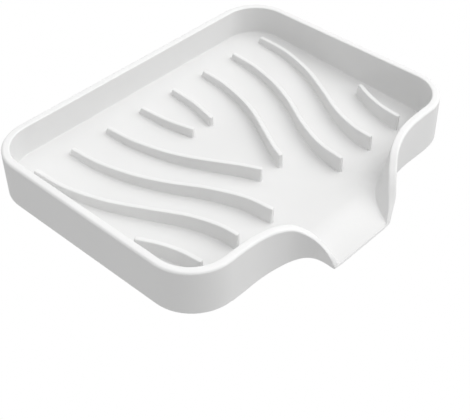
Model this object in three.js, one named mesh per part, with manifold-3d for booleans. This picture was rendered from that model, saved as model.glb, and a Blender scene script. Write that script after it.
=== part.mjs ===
// Self-draining silicone soap tray.
// Millimetres. +Z up, the base plane is z = 0, X runs along the long side and the spout points to -Y.
// The real tray is one moulding: each mesh below is one region of it, and neighbours share a face.

import * as THREE from 'three';
import { mergeVertices } from 'three/addons/utils/BufferGeometryUtils.js';
import Module from 'manifold-3d';

const wasm = await Module();
wasm.setup();

// Driving dimensions of the tray
const length = 130;
const depth = 95.8;
const height = 16.5;
const cornerRadius = 15.7;
const wallThickness = 2.8;

// Floor: a plane that falls towards the spout, then runs level to the crest of the lip
const floorBackZ = 5.8;
const floorFrontZ = 1.8;
const floorCrestZ = 1.7;
const floorFrontY = -36;
const lipCrestY = -46;

// Spout
const lipHalfWidth = 14.2;
const lipEndY = -58.7;
const lipTopZ = -4.7;
const lipUnderZ = -5.9;
const lipTopPower = 1.8;
const lipUnderPower = 1.5;
const lipUnderStartY = -46.5;
const cheekWallAtLip = 1.8;
const cheekTurnStart = 0.8; // share of a cheek's run after which its wall squares up to the lip

// Ribs
const ribThickness = 1.7;
const ribTopZ = 7.9;

// How finely curves are cut into flats
const cornerSegments = 10;
const cheekSegments = 24;
const ribStep = 3;
const lipSegments = 10;
const touching = 0.001; // distances under this count as none
const weldDistance = 1e-5; // vertices closer than this are one
const overrun = 1; // how far a cutting solid runs past what it cuts

// Derived places
const outerX = length / 2;
const outerY = depth / 2;
const innerX = outerX - wallThickness;
const innerY = outerY - wallThickness;
const innerRadius = cornerRadius - wallThickness;
const cornerX = outerX - cornerRadius;
const cornerY = outerY - cornerRadius;

// Heights

function floorTop(y) {
  if (y >= floorFrontY) {
    const share = (y - floorFrontY) / (innerY - floorFrontY);
    return THREE.MathUtils.lerp(floorFrontZ, floorBackZ, share);
  }
  if (y >= lipCrestY) {
    const share = (y - lipCrestY) / (floorFrontY - lipCrestY);
    return THREE.MathUtils.lerp(floorCrestZ, floorFrontZ, share);
  }
  const share = (lipCrestY - y) / (lipCrestY - lipEndY);
  return floorCrestZ - (floorCrestZ - lipTopZ) * share ** lipTopPower;
}

function underside(y) {
  if (y >= lipUnderStartY) return 0;
  const share = (lipUnderStartY - y) / (lipUnderStartY - lipEndY);
  return lipUnderZ * share ** lipUnderPower;
}

// Solids

function solidOf(geometry) {
  const bare = geometry.clone();
  bare.deleteAttribute('normal');
  bare.deleteAttribute('uv');
  const merged = mergeVertices(bare, weldDistance);
  return new wasm.Manifold(new wasm.Mesh({
    numProp: 3,
    vertProperties: merged.attributes.position.array,
    triVerts: new Uint32Array(merged.index.array),
  }));
}

function geometryOf(solid) {
  const mesh = solid.getMesh();
  const geometry = new THREE.BufferGeometry();
  geometry.setAttribute('position', new THREE.BufferAttribute(mesh.vertProperties, 3));
  geometry.setIndex(new THREE.BufferAttribute(mesh.triVerts, 1));
  geometry.computeVertexNormals();
  return geometry;
}

// A flat outline in XY, raised from one height to another
function upright(shape, lowZ, highZ) {
  const options = { depth: highZ - lowZ, bevelEnabled: false, curveSegments: cornerSegments };
  const geometry = new THREE.ExtrudeGeometry(shape, options);
  geometry.translate(0, 0, lowZ);
  return geometry;
}

// A side view drawn in (Y, Z), run along X from -halfWidth to halfWidth
function sideways(points, halfWidth) {
  const options = { depth: 2 * halfWidth, bevelEnabled: false };
  const geometry = new THREE.ExtrudeGeometry(new THREE.Shape(points), options);
  const turn = new THREE.Matrix4().makeBasis(
    new THREE.Vector3(0, 1, 0),
    new THREE.Vector3(0, 0, 1),
    new THREE.Vector3(1, 0, 0),
  );
  geometry.applyMatrix4(turn);
  geometry.translate(-halfWidth, 0, 0);
  return geometry;
}

// A box bent to shape: place(t, across, level) puts each of its corners, all three running 0 to 1.
// The three directions stay right-handed, so that the faces point out.
function bentBox(segments, levels, place) {
  const geometry = new THREE.BoxGeometry(1, 1, 1, segments, 1, levels);
  const position = geometry.attributes.position;
  for (let i = 0; i < position.count; i += 1) {
    const t = position.getX(i) + 0.5;
    const across = position.getY(i) + 0.5;
    const level = position.getZ(i) + 0.5;
    const point = place(t, across, level);
    position.setXYZ(i, point.x, point.y, point.z);
  }
  geometry.computeVertexNormals();
  return geometry;
}

// The same bent box on the +X side: running t backwards keeps the faces pointing out
function bentBoxOn(side, segments, levels, place) {
  if (side < 0) return bentBox(segments, levels, place);
  return bentBox(segments, levels, (t, across, level) => {
    const point = place(1 - t, across, level);
    return new THREE.Vector3(-point.x, point.y, point.z);
  });
}

// Floor and rim walls

function roundedRectangle(halfX, halfY, radius) {
  const shape = new THREE.Shape();
  shape.moveTo(-halfX + radius, -halfY);
  shape.lineTo(halfX - radius, -halfY);
  shape.absarc(halfX - radius, -halfY + radius, radius, -Math.PI / 2, 0);
  shape.lineTo(halfX, halfY - radius);
  shape.absarc(halfX - radius, halfY - radius, radius, 0, Math.PI / 2);
  shape.lineTo(-halfX + radius, halfY);
  shape.absarc(-halfX + radius, halfY - radius, radius, Math.PI / 2, Math.PI);
  shape.lineTo(-halfX, -halfY + radius);
  shape.absarc(-halfX + radius, -halfY + radius, radius, Math.PI, 1.5 * Math.PI);
  return shape;
}

function trayFloor() {
  const plan = solidOf(upright(roundedRectangle(innerX, innerY, innerRadius), -overrun, height));
  const profile = [
    new THREE.Vector2(-innerY, 0),
    new THREE.Vector2(innerY, 0),
    new THREE.Vector2(innerY, floorTop(innerY)),
    new THREE.Vector2(floorFrontY, floorFrontZ),
    new THREE.Vector2(-innerY, floorTop(-innerY)),
  ];
  return geometryOf(plan.intersect(solidOf(sideways(profile, outerX))));
}

function straightWall(lowX, highX, lowY, highY) {
  const geometry = new THREE.BoxGeometry(highX - lowX, highY - lowY, height);
  geometry.translate((lowX + highX) / 2, (lowY + highY) / 2, height / 2);
  return geometry;
}

// A quarter of the rim ring; signX and signY say which corner it turns round
function wallCorner(signX, signY) {
  const startAngle = Math.atan2(signY, signX) - Math.PI / 4;
  const endAngle = startAngle + Math.PI / 2;
  const shape = new THREE.Shape();
  shape.absarc(signX * cornerX, signY * cornerY, cornerRadius, startAngle, endAngle);
  shape.absarc(signX * cornerX, signY * cornerY, innerRadius, endAngle, startAngle, true);
  return upright(shape, 0, height);
}

// Spout

// Each cheek is the front wall carried round the neck to the lip. These are its stations on the -X
// side, from the rim's corner to the lip: where the outside of the rim is, and where the outside of
// the foot is below it. The wall leans out over its foot at the neck.
const rimRail = new THREE.CatmullRomCurve3([
  new THREE.Vector3(-cornerX, -outerY, height),
  new THREE.Vector3(-44, -outerY, height),
  new THREE.Vector3(-37, -48.4, height),
  new THREE.Vector3(-31, -49.8, 16.2),
  new THREE.Vector3(-26.1, -51.6, 14.7),
  new THREE.Vector3(-22.4, -54, 11.5),
  new THREE.Vector3(-19.8, -56.2, 7.9),
  new THREE.Vector3(-17.7, -57.9, 3.6),
  new THREE.Vector3(-lipHalfWidth, lipEndY, lipTopZ),
]);
const footRail = new THREE.CatmullRomCurve3([
  new THREE.Vector3(-cornerX, -outerY, 0),
  new THREE.Vector3(-44, -outerY, 0),
  new THREE.Vector3(-36.5, -outerY, 0),
  new THREE.Vector3(-30, -48.5, 0),
  new THREE.Vector3(-24.6, -49.5, 0),
  new THREE.Vector3(-20.3, -51, 0),
  new THREE.Vector3(-17.5, -53, 0),
  new THREE.Vector3(-15.6, -55.7, 0),
  new THREE.Vector3(-lipHalfWidth, lipEndY, 0),
]);

// A point of a rail, or the same point moved in by the wall's thickness. The direction in is square
// to the rail, and turns to +X at the lip so that the wall ends in the lip's own end face.
function railPoint(rail, t, inside) {
  const point = rail.getPoint(t);
  if (!inside) return point;
  const along = rail.getTangent(t);
  const atLip = THREE.MathUtils.smoothstep(t, cheekTurnStart, 1);
  const inward = new THREE.Vector2(-along.y, along.x).normalize();
  inward.lerp(new THREE.Vector2(1, 0), atLip).normalize();
  const thickness = THREE.MathUtils.lerp(wallThickness, cheekWallAtLip, atLip);
  point.x += inward.x * thickness;
  point.y = Math.min(point.y + inward.y * thickness, -innerY);
  return point;
}

// Level 0 is the underside, level 0.5 the crease with the floor on the inside, and level 1 the rim
function cheekPoint(t, across, level) {
  const inside = across > 0.5;
  const foot = railPoint(footRail, t, inside);
  if (level === 0) return foot.setZ(underside(foot.y));
  const creaseZ = floorTop(foot.y);
  if (level === 0.5) return foot.setZ(creaseZ);
  const rim = railPoint(rimRail, t, inside);
  return rim.setZ(Math.max(rim.z, creaseZ));
}

function spoutCheek(side) {
  return bentBoxOn(side, cheekSegments, 2, cheekPoint);
}

// Plan between the two inner feet, cut to the side view of the lip
function spoutFloor() {
  const shares = Array.from({ length: cheekSegments + 1 }, (_, i) => i / cheekSegments);
  const innerFeet = shares.map((t) => cheekPoint(t, 1, 0));
  const neck = innerFeet.findIndex((foot) => foot.y < -innerY - touching);
  const feet = innerFeet.slice(neck - 1).map((foot) => new THREE.Vector2(foot.x, foot.y));
  const mirrored = feet.map((point) => new THREE.Vector2(-point.x, point.y)).reverse();
  const plan = solidOf(upright(new THREE.Shape([...feet, ...mirrored]), lipUnderZ - overrun, height));
  const profile = [];
  for (let i = 0; i <= lipSegments; i += 1) {
    const y = THREE.MathUtils.lerp(-innerY, lipEndY, i / lipSegments);
    profile.push(new THREE.Vector2(y, floorTop(y)));
  }
  for (let i = lipSegments; i >= 0; i -= 1) {
    const y = THREE.MathUtils.lerp(-innerY, lipEndY, i / lipSegments);
    profile.push(new THREE.Vector2(y, underside(y)));
  }
  return geometryOf(plan.intersect(solidOf(sideways(profile, outerX))));
}

// Ribs

// Centre lines of the five -X ribs, as distance from the middle and Y, from the back to the front
const ribLines = [
  [[54.9, 34], [54, 21.3], [49.6, 6.3], [43.2, -6.4], [36.9, -18.2], [33.6, -28.8], [33.1, -35.5]],
  [[39.4, 34], [38.4, 22.4], [34.7, 8.6], [29.8, -2.2], [23.7, -12.8], [18.6, -25.3], [17.2, -35.5]],
  [[23.5, 34], [22.5, 22.3], [18, 6.4], [7.1, -14.4], [4.7, -19.7]],
  [[7.7, 34], [6.7, 22.3], [4.4, 12]],
  [[55, -13.8], [51.9, -20.4], [49.6, -28.2], [48.8, -35.5]],
];
const ribNames = ['outer', 'middle', 'inner', 'short', 'corner'];

function rib(side, line) {
  const curve = new THREE.CatmullRomCurve3(line.map(([x, y]) => new THREE.Vector3(-x, y, 0)));
  const segments = Math.round(curve.getLength() / ribStep);
  return bentBoxOn(side, segments, 1, (t, across, level) => {
    const middle = curve.getPoint(t);
    const along = curve.getTangent(t);
    const offset = (across - 0.5) * ribThickness;
    const x = middle.x - along.y * offset;
    const y = middle.y + along.x * offset;
    return new THREE.Vector3(x, y, level > 0.5 ? ribTopZ : floorTop(y));
  });
}

// Assembly

const silicone = { color: 0xf1f1f0, roughness: 0.55, metalness: 0 };
const tray = new THREE.Group();

function add(name, geometry) {
  const mesh = new THREE.Mesh(geometry, new THREE.MeshStandardMaterial(silicone));
  mesh.name = name;
  tray.add(mesh);
}

add('tray_floor', trayFloor());
add('back_wall', straightWall(-cornerX, cornerX, innerY, outerY));
add('spout_floor', spoutFloor());

for (const side of [-1, 1]) {
  const hand = side < 0 ? 'left' : 'right';
  const wallX = [side * innerX, side * outerX].sort((a, b) => a - b);
  add(`${hand}_wall`, straightWall(...wallX, -cornerY, cornerY));
  add(`back_corner_${hand}`, wallCorner(side, 1));
  add(`front_corner_${hand}`, wallCorner(side, -1));
  add(`spout_cheek_${hand}`, spoutCheek(side));
  ribNames.forEach((name, i) => add(`${name}_rib_${hand}`, rib(side, ribLines[i])));
}

export default tray;
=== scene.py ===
import math

import bmesh
import bpy
from mathutils import Matrix, Vector
from mathutils.geometry import delaunay_2d_cdt


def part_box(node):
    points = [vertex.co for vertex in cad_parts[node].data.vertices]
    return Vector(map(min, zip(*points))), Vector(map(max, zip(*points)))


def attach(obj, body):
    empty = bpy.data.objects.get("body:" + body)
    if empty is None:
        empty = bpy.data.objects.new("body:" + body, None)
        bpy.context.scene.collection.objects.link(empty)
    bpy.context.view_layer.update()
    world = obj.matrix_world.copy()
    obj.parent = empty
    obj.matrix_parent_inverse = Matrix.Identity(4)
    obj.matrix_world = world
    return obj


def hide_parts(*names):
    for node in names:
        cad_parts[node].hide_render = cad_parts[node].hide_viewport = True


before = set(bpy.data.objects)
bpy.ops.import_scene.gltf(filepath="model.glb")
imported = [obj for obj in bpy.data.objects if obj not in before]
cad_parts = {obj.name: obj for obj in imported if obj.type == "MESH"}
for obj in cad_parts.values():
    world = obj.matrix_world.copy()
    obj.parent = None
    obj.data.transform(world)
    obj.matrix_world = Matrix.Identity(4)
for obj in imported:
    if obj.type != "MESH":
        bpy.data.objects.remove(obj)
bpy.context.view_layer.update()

# Self-draining silicone soap tray: a rimmed shell with a down-turned spout, and ten wavy ribs on its floor.
# Every shape below is worked out in millimetres and put into the scene in metres.

mm = 0.001


def boxInMm(node):
    low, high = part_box(node)
    return low / mm, high / mm


sideLow, sideHigh = boxInMm("left_wall")
backLow, backHigh = boxInMm("back_wall")
cornerLow, cornerHigh = boxInMm("back_corner_left")
spoutLow = boxInMm("spout_floor")[0]
ribHigh = boxInMm("outer_rib_left")[1]

outerX, outerY = -sideLow.x, backHigh.y  # outside of the rim
innerX, innerY = -sideHigh.x, backLow.y  # inside of the rim
wall = outerX - innerX
rimZ = sideHigh.z
cornerRadius = cornerHigh.x - cornerLow.x
cornerX, cornerY = outerX - cornerRadius, outerY - cornerRadius
lipEndY, lipUnderZ = spoutLow.y, spoutLow.z
ribTopZ = ribHigh.z

print("measured the frame")


# Shape helpers that the shell and the ribs share

def blendShare(low, high, value):
    share = min(max((value - low) / (high - low), 0), 1)
    return share * share * (3 - 2 * share)


def mix(first, second, share):
    return first + (second - first) * share


def smoothCurve(points, share):
    # Place on a curve that passes through every point, evenly shared out between them
    last = len(points) - 1
    index = min(int(share * last), last - 1)
    local = share * last - index
    p1, p2 = points[index], points[index + 1]
    p0 = points[index - 1] if index > 0 else p1 * 2 - p2
    p3 = points[index + 2] if index + 2 <= last else p2 * 2 - p1
    d0, d1, d2 = [math.sqrt((b - a).length) for a, b in ((p0, p1), (p1, p2), (p2, p3))]
    slope1 = ((p1 - p0) / d0 - (p2 - p0) / (d0 + d1) + (p2 - p1) / d1) * d1
    slope2 = ((p2 - p1) / d1 - (p3 - p1) / (d1 + d2) + (p3 - p2) / d2) * d1
    square = (p2 - p1) * 3 - slope1 * 2 - slope2
    cube = (p1 - p2) * 2 + slope1 + slope2
    return p1 + slope1 * local + square * local ** 2 + cube * local ** 3


def curveDirection(points, share, step=0.001):
    low, high = max(share - step, 0), min(share + step, 1)
    return (smoothCurve(points, high) - smoothCurve(points, low)).normalized()


def newPiece(name, mesh, material):
    for vertex in mesh.verts:
        vertex.co *= mm
    bmesh.ops.recalc_face_normals(mesh, faces=mesh.faces)
    data = bpy.data.meshes.new(name)
    mesh.to_mesh(data)
    mesh.free()
    data.shade_smooth()
    data.materials.append(material)
    piece = bpy.data.objects.new(name, data)
    bpy.context.scene.collection.objects.link(piece)
    return piece


# The silicone, and the node groups that give its skin and the painted highlight on its crests

siliconeLook = {
    "light": (0.792, 0.792, 0.789, 1),   # the skin where it is freshest
    "deep": (0.772, 0.772, 0.769, 1),    # slight milky clouding
    "paintedCrestLight": (0.880, 0.880, 0.877, 1),    # painted highlight: crests made paler where light falls on them
    "cloudSize": 0.030,                  # metres across a cloud
    "grainSize": 0.00045,                # metres across a grain of the moulded skin
    "grainDepth": 0.000012,
    "grainStrength": 0.5,
    "roughness": (0.50, 0.60),
    "milkiness": 0.05,                   # how much light passes under the skin
    "milkDepth": 0.0015,
}


# How the node groups break each effect up
texture = {
    "cloudDetail": 3,
    "cloudRoughness": 0.45,
    "cloudRange": (0.3, 0.7),      # the narrower, the firmer the clouds
    "pebbleSmoothness": 0.8,
    "pebbleShare": 0.6,            # pebbles against the noise that wanders between them
    "patchScale": 0.06,            # patches of polish against grains
    "fineDetail": 2,
    "highlightRange": (0.8, 1.1),       # how unevenly the painted highlight lies along a crest
}


def newGroup(name, inputs, outputs):
    group = bpy.data.node_groups.new(name, "ShaderNodeTree")
    for label, kind, value in inputs:
        socket = group.interface.new_socket(label, in_out="INPUT", socket_type=kind)
        if value is not None:
            socket.default_value = value
    for label, kind in outputs:
        group.interface.new_socket(label, in_out="OUTPUT", socket_type=kind)
    return group, group.nodes.new("NodeGroupInput"), group.nodes.new("NodeGroupOutput")


def scaleFor(group, given):
    # A texture's scale from a size in metres
    perMetre = group.nodes.new("ShaderNodeMath")
    perMetre.operation = "DIVIDE"
    perMetre.inputs[0].default_value = 1
    group.links.new(given.outputs["Size"], perMetre.inputs[1])
    return perMetre.outputs[0]


def buildCloudGroup():
    # Two colours that drift into each other, as in a milky moulding
    group, given, made = newGroup(
        "milkyClouds",
        [("Position", "NodeSocketVector", None), ("Size", "NodeSocketFloat", 0.03),
         ("Light", "NodeSocketColor", (1, 1, 1, 1)), ("Deep", "NodeSocketColor", (0.9, 0.9, 0.9, 1))],
        [("Color", "NodeSocketColor")])
    nodes, links = group.nodes, group.links
    scale = scaleFor(group, given)
    noise = nodes.new("ShaderNodeTexNoise")
    noise.inputs["Detail"].default_value = texture["cloudDetail"]
    noise.inputs["Roughness"].default_value = texture["cloudRoughness"]
    soften = nodes.new("ShaderNodeMapRange")
    soften.inputs["From Min"].default_value, soften.inputs["From Max"].default_value = texture["cloudRange"]
    colour = nodes.new("ShaderNodeMix")
    colour.data_type = "RGBA"
    links.new(given.outputs["Position"], noise.inputs["Vector"])
    links.new(scale, noise.inputs["Scale"])
    links.new(noise.outputs["Fac"], soften.inputs["Value"])
    links.new(soften.outputs["Result"], colour.inputs["Factor"])
    links.new(given.outputs["Deep"], colour.inputs["A"])
    links.new(given.outputs["Light"], colour.inputs["B"])
    links.new(colour.outputs["Result"], made.inputs["Color"])
    return group


def buildGrainGroup():
    # The fine pebbled skin that a blasted mould leaves
    group, given, made = newGroup(
        "mouldGrain",
        [("Position", "NodeSocketVector", None), ("Size", "NodeSocketFloat", 0.0005)],
        [("Height", "NodeSocketFloat"), ("Polish", "NodeSocketFloat")])
    nodes, links = group.nodes, group.links
    scale = scaleFor(group, given)
    pebbles = nodes.new("ShaderNodeTexVoronoi")
    pebbles.feature = "SMOOTH_F1"
    pebbles.inputs["Smoothness"].default_value = texture["pebbleSmoothness"]
    wander = nodes.new("ShaderNodeTexNoise")
    wander.inputs["Detail"].default_value = texture["fineDetail"]
    both = nodes.new("ShaderNodeMath")
    both.operation = "MULTIPLY_ADD"
    both.inputs[1].default_value = texture["pebbleShare"]
    slow = nodes.new("ShaderNodeMath")
    slow.operation = "MULTIPLY"
    slow.inputs[1].default_value = texture["patchScale"]
    patches = nodes.new("ShaderNodeTexNoise")
    patches.inputs["Detail"].default_value = texture["fineDetail"]
    for pattern in (pebbles, wander, patches):
        links.new(given.outputs["Position"], pattern.inputs["Vector"])
    links.new(scale, pebbles.inputs["Scale"])
    links.new(scale, wander.inputs["Scale"])
    links.new(scale, slow.inputs[0])
    links.new(slow.outputs[0], patches.inputs["Scale"])
    links.new(pebbles.outputs["Distance"], both.inputs[0])
    links.new(wander.outputs["Fac"], both.inputs[2])
    links.new(both.outputs[0], made.inputs["Height"])
    links.new(patches.outputs["Fac"], made.inputs["Polish"])
    return group


def buildCrestHighlightGroup():
    # Painted highlight: crests made paler as if more strongly lit from above; a slow noise breaks the
    # highlight up
    group, given, made = newGroup(
        "paintedCrestHighlight",
        [("Color", "NodeSocketColor", (0.8, 0.8, 0.8, 1)), ("PaintedHighlight", "NodeSocketColor", (0.9, 0.9, 0.9, 1)),
         ("Crest", "NodeSocketFloat", 0), ("Position", "NodeSocketVector", None),
         ("Size", "NodeSocketFloat", 0.012)],
        [("Color", "NodeSocketColor")])
    nodes, links = group.nodes, group.links
    scale = scaleFor(group, given)
    noise = nodes.new("ShaderNodeTexNoise")
    noise.inputs["Detail"].default_value = texture["fineDetail"]
    uneven = nodes.new("ShaderNodeMapRange")
    uneven.inputs["To Min"].default_value, uneven.inputs["To Max"].default_value = texture["highlightRange"]
    amount = nodes.new("ShaderNodeMath")
    amount.operation = "MULTIPLY"
    amount.use_clamp = True
    colour = nodes.new("ShaderNodeMix")
    colour.data_type = "RGBA"
    links.new(given.outputs["Position"], noise.inputs["Vector"])
    links.new(scale, noise.inputs["Scale"])
    links.new(noise.outputs["Fac"], uneven.inputs["Value"])
    links.new(given.outputs["Crest"], amount.inputs[0])
    links.new(uneven.outputs["Result"], amount.inputs[1])
    links.new(amount.outputs[0], colour.inputs["Factor"])
    links.new(given.outputs["Color"], colour.inputs["A"])
    links.new(given.outputs["PaintedHighlight"], colour.inputs["B"])
    links.new(colour.outputs["Result"], made.inputs["Color"])
    return group


cloudGroup = buildCloudGroup()
grainGroup = buildGrainGroup()
crestHighlightGroup = buildCrestHighlightGroup()


def siliconeMaterial(name, look):
    material = bpy.data.materials.new(name)
    material.use_nodes = True
    nodes, links = material.node_tree.nodes, material.node_tree.links
    skin = nodes["Principled BSDF"]
    place = nodes.new("ShaderNodeTexCoord")
    clouds = nodes.new("ShaderNodeGroup")
    clouds.node_tree = cloudGroup
    clouds.inputs["Size"].default_value = look["cloudSize"]
    clouds.inputs["Light"].default_value = look["light"]
    clouds.inputs["Deep"].default_value = look["deep"]
    grain = nodes.new("ShaderNodeGroup")
    grain.node_tree = grainGroup
    grain.inputs["Size"].default_value = look["grainSize"]
    # The crest mask and the crest group paint a highlight into the base colour on rim and rib tops
    crest = nodes.new("ShaderNodeAttribute")
    crest.attribute_name = "crest"
    crestHighlight = nodes.new("ShaderNodeGroup")
    crestHighlight.node_tree = crestHighlightGroup
    crestHighlight.inputs["PaintedHighlight"].default_value = look["paintedCrestLight"]
    rough = nodes.new("ShaderNodeMapRange")
    rough.inputs["To Min"].default_value, rough.inputs["To Max"].default_value = look["roughness"]
    bump = nodes.new("ShaderNodeBump")
    bump.inputs["Strength"].default_value = look["grainStrength"]
    bump.inputs["Distance"].default_value = look["grainDepth"]
    skin.inputs["Subsurface Weight"].default_value = look["milkiness"]
    skin.inputs["Subsurface Scale"].default_value = look["milkDepth"]
    skin.inputs["Subsurface Radius"].default_value = (1, 1, 1)
    links.new(place.outputs["Object"], clouds.inputs["Position"])
    links.new(place.outputs["Object"], grain.inputs["Position"])
    links.new(place.outputs["Object"], crestHighlight.inputs["Position"])
    links.new(clouds.outputs["Color"], crestHighlight.inputs["Color"])
    links.new(crest.outputs["Fac"], crestHighlight.inputs["Crest"])
    links.new(crestHighlight.outputs["Color"], skin.inputs["Base Color"])
    links.new(grain.outputs["Polish"], rough.inputs["Value"])
    links.new(rough.outputs["Result"], skin.inputs["Roughness"])
    links.new(grain.outputs["Height"], bump.inputs["Height"])
    links.new(bump.outputs["Normal"], skin.inputs["Normal"])
    return material


shellSilicone = siliconeMaterial("shellSilicone", siliconeLook)
# The ribs' tops get a weaker painted highlight
ribSilicone = siliconeMaterial("ribSilicone", {
    **siliconeLook, "paintedCrestLight": (0.840, 0.840, 0.837, 1), "roughness": (0.46, 0.56)})

print("mixed the silicone")


# The shell: one wall section is carried all the way round the tray,
# then the floor and the underside are filled in

shell = {
    "floorBackZ": 5.8,          # floor height at the back wall
    "floorFrontZ": 1.8,         # and where it levels out
    "floorCrestZ": 1.7,         # and where the lip starts to fall
    "floorFrontY": -36,
    "lipCrestY": -46,
    "lipTopZ": -4.7,
    "lipTopPower": 1.8,
    "lipUnderStartY": -46.5,
    "lipUnderPower": 1.5,
    "lipHalfWidth": 14.2,
    "cheekWallAtLip": 1.8,
    "cheekTurnStart": 0.8,      # share of a cheek's run after which its wall squares up to the lip
    # Shares of a cheek's run over which the neck's sweeps come in and go out
    "floorSweepIn": (0.05, 0.4),
    "floorSweepOut": (0.5, 0.88),
    "wallSweepIn": (0.05, 0.34),
    "wallSweepOut": (0.44, 0.6),
    "creaseTightens": (0.84, 0.97),
    "creaseTightening": 0.6,
    "footInset": 3,             # from the foot to the flat underside
    "footInsetAtLip": 1.2,
    "floorInset": 0.6,          # from the crease's arc to the flat floor
    "rimRoundOut": 0.9,
    "rimRoundIn": 0.45,
    "footRound": 0.15,
    "creaseRound": 0.5,
    "neckFloorRound": 8.5,      # the floor sweeps up into the wall at the neck
    "neckWallRound": 9.0,
    "arcHoldBefore": 0.45,      # most of a side that an arc may use up
    "arcHoldAfter": 0.9,
    "lipRound": 0.3,
    "lipNear": 0.6,             # how far behind the lip's end face its arcs and its sheets start
    "lipFar": 1.2,
    "lipTipShare": 0.98,        # share of a cheek's run where the lip's corner picks up the cheek
    "tipUnder": 1.2,
    "tipFloor": 0.9,
    "lipEdge": 1.5,             # from the lip's corner to its first straight section
    "tipLift": 0.6,             # how far the lip's corners rise above the middle of its under-edge
    "wallStep": 5,
    "cornerSteps": 14,
    "cheekSteps": 72,
    "cheekEnd": 0.94,           # share of a cheek's run at which the lip's corner takes over
    "lipSteps": 10,
    "footArcSteps": 4,
    "rimArcSteps": 6,
    "creaseArcSteps": 8,
    "crestFade": 2,             # points over which the painted highlight on the rim's crest comes in at each side
    "floorGrid": 3.5,
    "lipGridFiner": 3,          # how much finer the grid is where the lip bends
    "gridClearance": 0.25,      # share of the grid kept clear of a border
}

# The left cheek's outside from the rim's corner to the lip: along the rim, and along the foot below it
rimRail = [Vector(p) for p in (
    (-cornerX, -outerY, rimZ), (-44, -outerY, rimZ), (-37, -48.4, rimZ), (-31, -49.8, 16.2),
    (-26.1, -51.6, 14.7), (-22.4, -54, 11.5), (-19.8, -56.2, 7.9), (-17.7, -57.9, 3.6),
    (-shell["lipHalfWidth"], lipEndY, shell["lipTopZ"]))]
footRail = [Vector(p) for p in (
    (-cornerX, -outerY, 0), (-44, -outerY, 0), (-36.5, -outerY, 0), (-30, -48.5, 0), (-24.6, -49.5, 0),
    (-20.3, -51, 0), (-17.5, -53, 0), (-15.6, -55.7, 0), (-shell["lipHalfWidth"], lipEndY, 0))]


def floorTop(y):
    if y >= shell["floorFrontY"]:
        share = (y - shell["floorFrontY"]) / (innerY - shell["floorFrontY"])
        return mix(shell["floorFrontZ"], shell["floorBackZ"], share)
    if y >= shell["lipCrestY"]:
        share = (y - shell["lipCrestY"]) / (shell["floorFrontY"] - shell["lipCrestY"])
        return mix(shell["floorCrestZ"], shell["floorFrontZ"], share)
    share = (shell["lipCrestY"] - y) / (shell["lipCrestY"] - lipEndY)
    return shell["floorCrestZ"] - (shell["floorCrestZ"] - shell["lipTopZ"]) * share ** shell["lipTopPower"]


def underside(y):
    if y >= shell["lipUnderStartY"]:
        return 0
    share = (shell["lipUnderStartY"] - y) / (shell["lipUnderStartY"] - lipEndY)
    return lipUnderZ * share ** shell["lipUnderPower"]


def onFloor(place):
    return Vector((place.x, place.y, floorTop(place.y)))


def onUnderside(place):
    return Vector((place.x, place.y, underside(place.y)))


def roundedCorner(before, corner, after, reachIn, reachOut, steps):
    # An arc that leaves one side and joins the other; a short side holds it to a share of itself
    toBefore, toAfter = before - corner, after - corner
    start = corner + toBefore.normalized() * min(reachIn, toBefore.length * shell["arcHoldBefore"])
    end = corner + toAfter.normalized() * min(reachOut, toAfter.length * shell["arcHoldAfter"])
    pull = math.sin(toBefore.angle(toAfter, math.pi) / 2)
    arc = []
    for i in range(steps + 1):
        u = i / steps
        parts = ((1 - u) ** 2, 2 * u * (1 - u) * pull, u ** 2)
        arc.append((start * parts[0] + corner * parts[1] + end * parts[2]) / sum(parts))
    return arc


def heldRun(start, end, hold=0.35):
    # Points between two arcs, close to each so that the flat between them shades flat
    length = (end - start).length
    near = min(hold, length / 4)
    side = (end - start).normalized()
    return [start + side * near, (start + end) / 2, end - side * near]


def wallSection(under, foot, rimOut, rimIn, crease, floor, rounds):
    # One slice of the moulding, from the underside round the rim to the floor
    footArc = roundedCorner(under, foot, rimOut, rounds["foot"], rounds["foot"], shell["footArcSteps"])
    outArc = roundedCorner(foot, rimOut, rimIn, rounds["rimOut"], rounds["rimOut"], shell["rimArcSteps"])
    inArc = roundedCorner(rimOut, rimIn, crease, rounds["rimIn"], rounds["rimIn"], shell["rimArcSteps"])
    creaseArc = roundedCorner(
        rimIn, crease, floor, rounds["creaseUp"], rounds["creaseOut"], shell["creaseArcSteps"])
    return [under, *footArc, *heldRun(footArc[-1], outArc[0]), *outArc, *inArc,
            *heldRun(inArc[-1], creaseArc[0]), *creaseArc, floor]


def plainRounds():
    return {"foot": shell["footRound"], "rimOut": shell["rimRoundOut"], "rimIn": shell["rimRoundIn"],
            "creaseUp": shell["creaseRound"], "creaseOut": shell["creaseRound"]}


def basinSection(place, inward):
    # The wall stands straight up on the outline
    inner = place + inward * wall
    up = Vector((0, 0, rimZ))
    rounds = plainRounds()
    return wallSection(
        place + inward * shell["footInset"], place, place + up, inner + up,
        onFloor(inner), onFloor(inner + inward * (rounds["creaseOut"] + shell["floorInset"])), rounds)


def basinSections():
    # Left half, from the middle of the back to where the cheek starts
    sections = []
    steps = round(cornerX / shell["wallStep"])
    for i in range(steps):
        sections.append(basinSection(Vector((-cornerX * i / steps, outerY, 0)), Vector((0, -1, 0))))
    for centreY, startAngle in ((cornerY, math.pi / 2), (-cornerY, math.pi)):
        for i in range(shell["cornerSteps"] + 1):
            angle = startAngle + math.pi / 2 * i / shell["cornerSteps"]
            outward = Vector((math.cos(angle), math.sin(angle), 0))
            sections.append(basinSection(Vector((-cornerX, centreY, 0)) + outward * cornerRadius, -outward))
        if centreY > 0:
            steps = round(2 * cornerY / shell["wallStep"])
            for i in range(1, steps):
                y = mix(cornerY, -cornerY, i / steps)
                sections.append(basinSection(Vector((-outerX, y, 0)), Vector((1, 0, 0))))
    return sections


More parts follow.
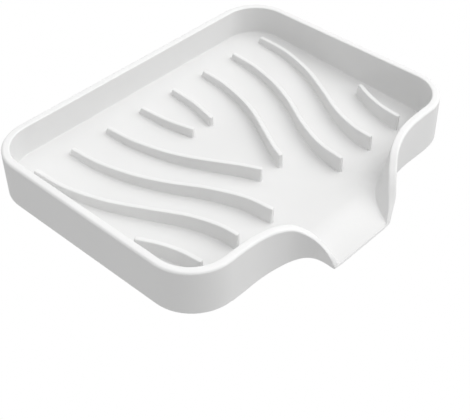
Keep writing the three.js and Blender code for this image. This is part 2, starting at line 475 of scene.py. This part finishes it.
def railPoint(rail, share):
    # A point of a rail, the same point inside the wall, and the level direction between them
    outside = smoothCurve(rail, share)
    along = curveDirection(rail, share)
    atLip = blendShare(shell["cheekTurnStart"], 1, share)
    inward = Vector((-along.y, along.x, 0)).normalized()
    inward = inward.lerp(Vector((1, 0, 0)), atLip).normalized()
    inside = outside + inward * mix(wall, shell["cheekWallAtLip"], atLip)
    inside.y = min(inside.y, -innerY)
    return outside, inside, inward


def cheekSection(share):
    foot, footIn, inward = railPoint(footRail, share)
    rimOut, rimIn, _ = railPoint(rimRail, share)
    inset = mix(shell["footInset"], shell["footInsetAtLip"], blendShare(shell["cheekTurnStart"], 1, share))
    crease = onFloor(footIn)
    rimIn.z = max(rimIn.z, crease.z)
    sweep = blendShare(*shell["floorSweepIn"], share) * (1 - blendShare(*shell["floorSweepOut"], share))
    climb = blendShare(*shell["wallSweepIn"], share) * (1 - blendShare(*shell["wallSweepOut"], share))
    tuck = 1 - blendShare(*shell["creaseTightens"], share) * shell["creaseTightening"]
    rounds = {
        "foot": shell["footRound"],
        "rimOut": shell["rimRoundOut"],
        "rimIn": shell["rimRoundIn"],
        "creaseUp": mix(shell["creaseRound"] * tuck, shell["neckWallRound"], climb),
        "creaseOut": mix(shell["creaseRound"] * tuck, shell["neckFloorRound"], sweep),
    }
    return wallSection(
        onUnderside(foot + inward * inset), onUnderside(foot), rimOut, rimIn, crease,
        onFloor(footIn + inward * (rounds["creaseOut"] + shell["floorInset"])), rounds)


def lipSection(under, foot, bottom, top, crease, floor):
    # At the lip the section lies down: its rim is the lip's own end face
    rounds = dict.fromkeys(plainRounds(), shell["lipRound"])
    return wallSection(
        onUnderside(under), onUnderside(foot), bottom, top, onFloor(crease), onFloor(floor), rounds)


def shellSections():
    # The left half round to the middle of the lip
    sections = basinSections()
    for i in range(1, shell["cheekSteps"] + 1):
        sections.append(cheekSection(shell["cheekEnd"] * i / shell["cheekSteps"]))
    outerTip = Vector((-shell["lipHalfWidth"], lipEndY, lipUnderZ + shell["tipLift"]))
    innerTip = Vector((-shell["lipHalfWidth"] + shell["cheekWallAtLip"], lipEndY, shell["lipTopZ"]))
    near, far = Vector((0, shell["lipNear"], 0)), Vector((0, shell["lipFar"], 0))
    footOut, footIn, _ = railPoint(footRail, shell["lipTipShare"])
    tipUnder, tipFloor = Vector((shell["tipUnder"], 0, 0)), Vector((shell["tipFloor"], 0, 0))
    sections.append(lipSection(
        outerTip + far + tipUnder, footOut, outerTip, innerTip, footIn, innerTip + far + tipFloor))
    for i in range(shell["lipSteps"]):
        x = mix(innerTip.x + shell["lipEdge"], 0, i / (shell["lipSteps"] - 1))
        bottom, top = Vector((x, lipEndY, lipUnderZ)), Vector((x, lipEndY, shell["lipTopZ"]))
        sections.append(lipSection(bottom + far, bottom + near, bottom, top, top + near, top + far))
    return sections


def insideOutline(place, outline):
    inside = False
    for a, b in zip(outline, outline[1:] + outline[:1]):
        if (a.y > place.y) != (b.y > place.y) and place.x < mix(a.x, b.x, (place.y - a.y) / (b.y - a.y)):
            inside = not inside
    return inside


def clearOfOutline(place, outline, gap, tiny=1e-9):
    for a, b in zip(outline, outline[1:] + outline[:1]):
        side = b - a
        share = min(max((place - a).dot(side) / max(side.length_squared, tiny), 0), 1)
        if (a + side * share - place).length < gap:
            return False
    return True


def fillSheet(mesh, border, heightAt, insideOnly=1, nearest=1e-6):
    # Closes a ring of vertices with triangles, on points of its own that are closest where the lip bends
    outline = [Vector((vertex.co.x, vertex.co.y)) for vertex in border]
    grid = shell["floorGrid"]
    clear = grid * shell["gridClearance"]
    rows = []
    y = lipEndY
    while y < outerY:
        y += grid / shell["lipGridFiner"] if y < shell["lipCrestY"] else grid
        rows.append(y)
    inner = []
    for y in rows:
        count = int(outerX / grid)
        for column in range(-count, count + 1):
            place = Vector((column * grid, y))
            if insideOutline(place, outline) and clearOfOutline(place, outline, clear):
                inner.append(place)
    ring = [list(range(len(outline)))]
    places, _, triangles, origins, _, _ = delaunay_2d_cdt(outline + inner, [], ring, insideOnly, nearest)
    made = []
    for place, origin in zip(places, origins):
        if origin and origin[0] < len(outline):
            made.append(border[origin[0]])
        else:
            made.append(mesh.verts.new((place.x, place.y, heightAt(place.y))))
    for triangle in triangles:
        mesh.faces.new([made[i] for i in triangle])


def buildShell():
    half = shellSections()
    mirrored = [[Vector((-p.x, p.y, p.z)) for p in section] for section in reversed(half[1:-1])]
    mesh = bmesh.new()
    crest = mesh.verts.layers.float.new("crest")
    rings = [[mesh.verts.new(p) for p in section] for section in half + mirrored]
    # A section's rim starts after the underside's point, the foot's arc and the held run up the wall
    rimFirst = 1 + (shell["footArcSteps"] + 1) + 3
    rimLast = rimFirst + 2 * (shell["rimArcSteps"] + 1) - 1
    # Crest mask: the rim's top gets the painted highlight
    for ring in rings:
        for i, vertex in enumerate(ring):
            vertex[crest] = min(max(min(i - rimFirst, rimLast - i) / shell["crestFade"], 0), 1)
    for ring, after in zip(rings, rings[1:] + rings[:1]):
        for i in range(len(ring) - 1):
            mesh.faces.new((ring[i], ring[i + 1], after[i + 1], after[i]))
    fillSheet(mesh, [ring[-1] for ring in rings], floorTop)
    fillSheet(mesh, [ring[0] for ring in rings], underside)
    return newPiece("trayShell", mesh, shellSilicone)


trayShell = buildShell()
hands = ("left", "right")
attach(trayShell, "root")
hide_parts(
    "tray_floor", "back_wall", "spout_floor",
    *[f"{hand}_wall" for hand in hands],
    *[f"{part}_{hand}" for hand in hands for part in ("back_corner", "front_corner", "spout_cheek")])

print("shaped the shell")


# The ribs: a rounded outline along each wavy line is raised from a filleted foot to an eased top

ribShape = {
    "thickness": 1.7,
    "endRound": 0.6,
    "topRound": 0.4,
    "footFlare": 0.2,
    "sunk": 0.25,          # how far the foot goes down into the floor
    "backReach": 0.45,     # the top's back end beyond the line's first point
    "backRamp": 1.1,       # and how much further back the foot starts
    "rampLow": 0.85,       # how far down the ramp the upright side starts
    "rampHigh": 0.2,       # and ends
    "sideGap": 0.25,       # from the foot's fillet and the top's round to the upright side
    "step": 1.2,
    "arcSteps": 4,
    "samples": 200,        # along a line when its length is measured
}

# Centre lines of the left ribs from the back to the front, as distance from the middle and Y
ribLines = {
    "outer": (
        (54.9, 34), (54, 21.3), (49.6, 6.3), (43.2, -6.4), (36.9, -18.2), (33.6, -28.8), (33.1, -35.5)),
    "middle": (
        (39.4, 34), (38.4, 22.4), (34.7, 8.6), (29.8, -2.2), (23.7, -12.8), (18.6, -25.3), (17.2, -35.5)),
    "inner": ((23.5, 34), (22.5, 22.3), (18, 6.4), (7.1, -14.4), (4.7, -19.7)),
    "short": ((7.7, 34), (6.7, 22.3), (4.4, 12)),
    "corner": ((55, -13.8), (51.9, -20.4), (49.6, -28.2), (48.8, -35.5)),
}


def ribRun(line):
    # A rib's length, and the place and direction at any distance along it
    count = ribShape["samples"]
    samples = [smoothCurve(line, i / count) for i in range(count + 1)]
    lengths = [0]
    for a, b in zip(samples, samples[1:]):
        lengths.append(lengths[-1] + (b - a).length)
    length = lengths[-1]

    def placeAt(distance):
        held = min(max(distance, 0), length)
        index = max(i for i in range(count) if lengths[i] <= held)
        local = (held - lengths[index]) / (lengths[index + 1] - lengths[index])
        share = (index + local) / count
        along = curveDirection(line, share)
        return smoothCurve(line, share) + along * (distance - held), along

    return placeAt, length


def ribLoop(placeAt, length, spread, lowered):
    # The rib's outline moved outwards by spread: pairs of points on its two sides, from end to end
    half, corner = ribShape["thickness"] / 2, ribShape["endRound"]
    pairs = []
    arcs = [math.pi / 2 * i / ribShape["arcSteps"] for i in range(ribShape["arcSteps"] + 1)]
    reach = corner + spread
    ends = [(corner - reach * math.cos(angle), half - corner + reach * math.sin(angle)) for angle in arcs]
    count = round(length / ribShape["step"])
    middles = [(mix(corner, length - corner, i / count), half + spread) for i in range(1, count)]
    turned = [(length - distance, across) for distance, across in reversed(ends)]
    back = ribShape["backReach"] + ribShape["backRamp"] * lowered
    for distance, across in [(distance - back, across) for distance, across in ends] + middles + turned:
        place, along = placeAt(distance)
        aside = Vector((-along.y, along.x, 0)) * across
        pairs.append((place + aside, place - aside))
    return pairs


def ribLevels():
    # (spread of the outline, height measured from the floor or down from the top, how far down the ramp)
    flare, top, steps = ribShape["footFlare"], ribShape["topRound"], ribShape["arcSteps"]
    levels = [(flare, "floor", -ribShape["sunk"], 1)]
    for i in range(steps + 1):
        angle = math.pi / 2 * i / steps
        levels.append((flare * (1 - math.sin(angle)), "floor", flare * (1 - math.cos(angle)), 1))
    levels.append((0, "floor", flare + ribShape["sideGap"], ribShape["rampLow"]))
    levels.append((0, "top", -top - ribShape["sideGap"], ribShape["rampHigh"]))
    for i in range(steps + 1):
        angle = math.pi / 2 * i / steps
        levels.append((-top * (1 - math.cos(angle)), "top", -top * (1 - math.sin(angle)), 0))
    return levels


def buildRib(name, line, side):
    points = [Vector((side * x, y, 0)) for x, y in line]
    placeAt, length = ribRun(points)
    mesh = bmesh.new()
    crest = mesh.verts.layers.float.new("crest")
    rings = []
    for spread, base, rise, lowered in ribLevels():
        pairs = ribLoop(placeAt, length, spread, lowered)
        heights = [[(floorTop(p.y) if base == "floor" else ribTopZ) + rise for p in pair] for pair in pairs]
        left = [mesh.verts.new((pair[0].x, pair[0].y, z[0])) for pair, z in zip(pairs, heights)]
        right = [mesh.verts.new((pair[1].x, pair[1].y, z[1])) for pair, z in zip(pairs, heights)]
        rings.append((left, right))
    loops = [left + right[::-1] for left, right in rings]
    # Crest mask: the rib's eased top gets the painted highlight
    topLevels = ribShape["arcSteps"]
    for i, loop in enumerate(loops[-topLevels:]):
        for vertex in loop:
            vertex[crest] = (i + 1) / topLevels
    for low, high in zip(loops, loops[1:]):
        for i in range(len(low)):
            after = (i + 1) % len(low)
            mesh.faces.new((low[i], low[after], high[after], high[i]))
    for left, right in (rings[0], rings[-1]):
        for i in range(len(left) - 1):
            mesh.faces.new((left[i], left[i + 1], right[i + 1], right[i]))
    return newPiece(name, mesh, ribSilicone)


for part, line in ribLines.items():
    for hand, side in zip(hands, (-1, 1)):
        rib = buildRib(f"{part}Rib{hand.capitalize()}", line, side)
        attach(rib, "root")
        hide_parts(f"{part}_rib_{hand}")

print("raised the ribs")


# The studio: pale sweep, soft light and camera

studio = {
    "floorZ": lipUnderZ - 0.3,      # just under the lip
    "floorSize": 6.0,               # metres
    "floorColour": (1, 1, 1, 1),
    "floorGlow": 1.0,               # what the camera sees of the floor
    "floorBounce": 0.712,           # what the tray sees of it
    "worldGlow": 1.0,
    "worldFill": 0.31,
}

# name: azimuth, elevation, distance, size, power
lamps = {
    "topBox": (0, 89, 1.2, 1.6, 6.2),
    "ceilingBox": (0, 89, 1.2, 3.6, 17.0),
    "keyBox": (45, 40, 1.3, 1.5, 9.2),
}


def directionOf(azimuth, elevation):
    # Azimuth 0 stands in front of the tray on -Y and turns towards +X
    turn, lift = math.radians(azimuth), math.radians(elevation)
    return Vector((math.sin(turn) * math.cos(lift), -math.cos(turn) * math.cos(lift), math.sin(lift)))


def glowMaterial(name, colour, seen, felt):
    # One brightness for the camera and another for the light it gives the tray
    material = bpy.data.materials.new(name)
    material.use_nodes = True
    nodes, links = material.node_tree.nodes, material.node_tree.links
    nodes.clear()
    rays = nodes.new("ShaderNodeLightPath")
    strength = nodes.new("ShaderNodeMapRange")
    strength.inputs["To Min"].default_value = felt
    strength.inputs["To Max"].default_value = seen
    glow = nodes.new("ShaderNodeEmission")
    glow.inputs["Color"].default_value = colour
    out = nodes.new("ShaderNodeOutputMaterial")
    links.new(rays.outputs["Is Camera Ray"], strength.inputs["Value"])
    links.new(strength.outputs["Result"], glow.inputs["Strength"])
    links.new(glow.outputs["Emission"], out.inputs["Surface"])
    return material


def buildFloor():
    mesh = bmesh.new()
    bmesh.ops.create_grid(mesh, x_segments=4, y_segments=4, size=studio["floorSize"] / 2 / mm)
    for vertex in mesh.verts:
        vertex.co.z = studio["floorZ"]
    material = glowMaterial("paleSweep", studio["floorColour"], studio["floorGlow"], studio["floorBounce"])
    floor = newPiece("paleFloor", mesh, material)


def buildWorld():
    world = bpy.data.worlds.new("softRoom")
    bpy.context.scene.world = world
    world.use_nodes = True
    nodes, links = world.node_tree.nodes, world.node_tree.links
    rays = nodes.new("ShaderNodeLightPath")
    strength = nodes.new("ShaderNodeMapRange")
    strength.inputs["To Min"].default_value = studio["worldFill"]
    strength.inputs["To Max"].default_value = studio["worldGlow"]
    background = nodes["Background"]
    background.inputs["Color"].default_value = (1, 1, 1, 1)
    links.new(rays.outputs["Is Camera Ray"], strength.inputs["Value"])
    links.new(strength.outputs["Result"], background.inputs["Strength"])


def addLamp(name, azimuth, elevation, distance, size, power):
    data = bpy.data.lights.new(name, "AREA")
    data.shape = "DISK"
    data.size = size
    data.energy = power
    lamp = bpy.data.objects.new(name, data)
    toward = directionOf(azimuth, elevation)
    lamp.location = toward * distance
    lamp.rotation_euler = toward.to_track_quat("Z", "Y").to_euler()
    lamp.visible_camera = False
    bpy.context.scene.collection.objects.link(lamp)


view = {
    "lens": 77.10,
    "sensor": 36,
    "nearest": 0.01,       # metres
    "azimuth": -47.50,
    "elevation": 41.48,
    "roll": -0.10,
    "distance": 324.4,
    "target": (-16.34, -25.03, 0),
    "shift": (-0.0325, 0.0023),
}


def addCamera():
    data = bpy.data.cameras.new("tableCamera")
    data.lens = view["lens"]
    data.sensor_width = view["sensor"]
    data.shift_x, data.shift_y = view["shift"]
    data.clip_start = view["nearest"]
    camera = bpy.data.objects.new("tableCamera", data)
    back = directionOf(view["azimuth"], view["elevation"])
    level = back.to_track_quat("Z", "Y").to_matrix()
    roll = Matrix.Rotation(math.radians(view["roll"]), 3, back)
    camera.matrix_world = Matrix.Translation(
        (Vector(view["target"]) + back * view["distance"]) * mm) @ (roll @ level).to_4x4()
    bpy.context.scene.collection.objects.link(camera)
    bpy.context.scene.camera = camera


buildFloor()
buildWorld()
for name, settings in lamps.items():
    addLamp(name, *settings)
addCamera()
bpy.context.scene.view_settings.view_transform = "Standard"

print("set up the studio")
